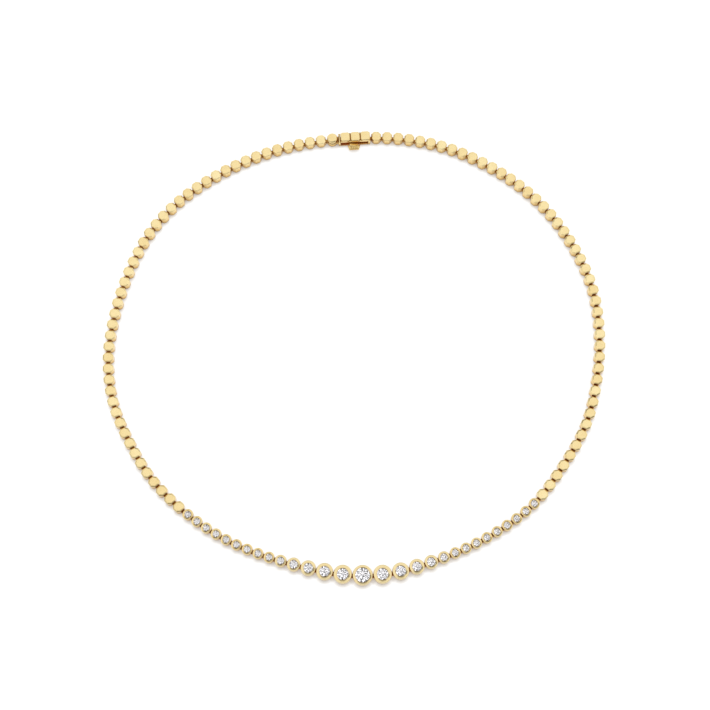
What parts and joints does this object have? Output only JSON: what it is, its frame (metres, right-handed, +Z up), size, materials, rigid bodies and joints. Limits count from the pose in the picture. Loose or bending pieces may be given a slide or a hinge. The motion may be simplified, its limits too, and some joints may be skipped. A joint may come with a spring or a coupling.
{
  "type": "riviere necklace",
  "caption": "Gold link necklace with graduated round stones in rubbed-over settings at the front and a box clasp with a thumb lever at the back.",
  "frame": {"origin": "middle of the closed loop's outline, on the surface that it lies on", "axes": "+Z up from the surface, -Y towards the centre stone at the front, +Y towards the clasp, +X towards the right links"},
  "size_m": [0.1324, 0.1262, 0.0028],
  "materials": {
    "gold": "polished yellow gold",
    "diamond": "cut and polished colourless diamond"
  },
  "bodies": {
    "necklace": {"clasp_box": "gold", "clasp_tongue": "gold", "links_left": "gold", "links_right": "gold", "small_settings_left": "gold", "small_settings_right": "gold", "setting_centre": "gold", "setting_left_1": "gold", "setting_left_2": "gold", "setting_left_3": "gold", "setting_left_4": "gold", "setting_left_5": "gold", "setting_right_1": "gold", "setting_right_2": "gold", "setting_right_3": "gold", "setting_right_4": "gold", "setting_right_5": "gold", "stone_centre": "diamond", "stone_left_1": "diamond", "stone_left_2": "diamond", "stone_left_3": "diamond", "stone_left_4": "diamond", "stone_left_5": "diamond", "stone_left_6": "diamond", "stone_left_7": "diamond", "stone_left_8": "diamond", "stone_left_9": "diamond", "stone_left_10": "diamond", "stone_left_11": "diamond", "stone_left_12": "diamond", "stone_left_13": "diamond", "stone_left_14": "diamond", "stone_right_1": "diamond", "stone_right_2": "diamond", "stone_right_3": "diamond", "stone_right_4": "diamond", "stone_right_5": "diamond", "stone_right_6": "diamond", "stone_right_7": "diamond", "stone_right_8": "diamond", "stone_right_9": "diamond", "stone_right_10": "diamond", "stone_right_11": "diamond", "stone_right_12": "diamond", "stone_right_13": "diamond", "stone_right_14": "diamond"},
    "lever": {"clasp_lever": "gold"}
  },
  "joints": [
    {"name": "lever_press", "type": "hinge", "parent": "necklace", "child": "lever", "pos_m": [0.0033, 0.06159, 0.00075], "axis": [0.0662, -0.9978, 0], "range_deg": [0, 4], "stiffness_Nm_per_rad": 0.002, "springref_deg": -2.01}
  ]
}
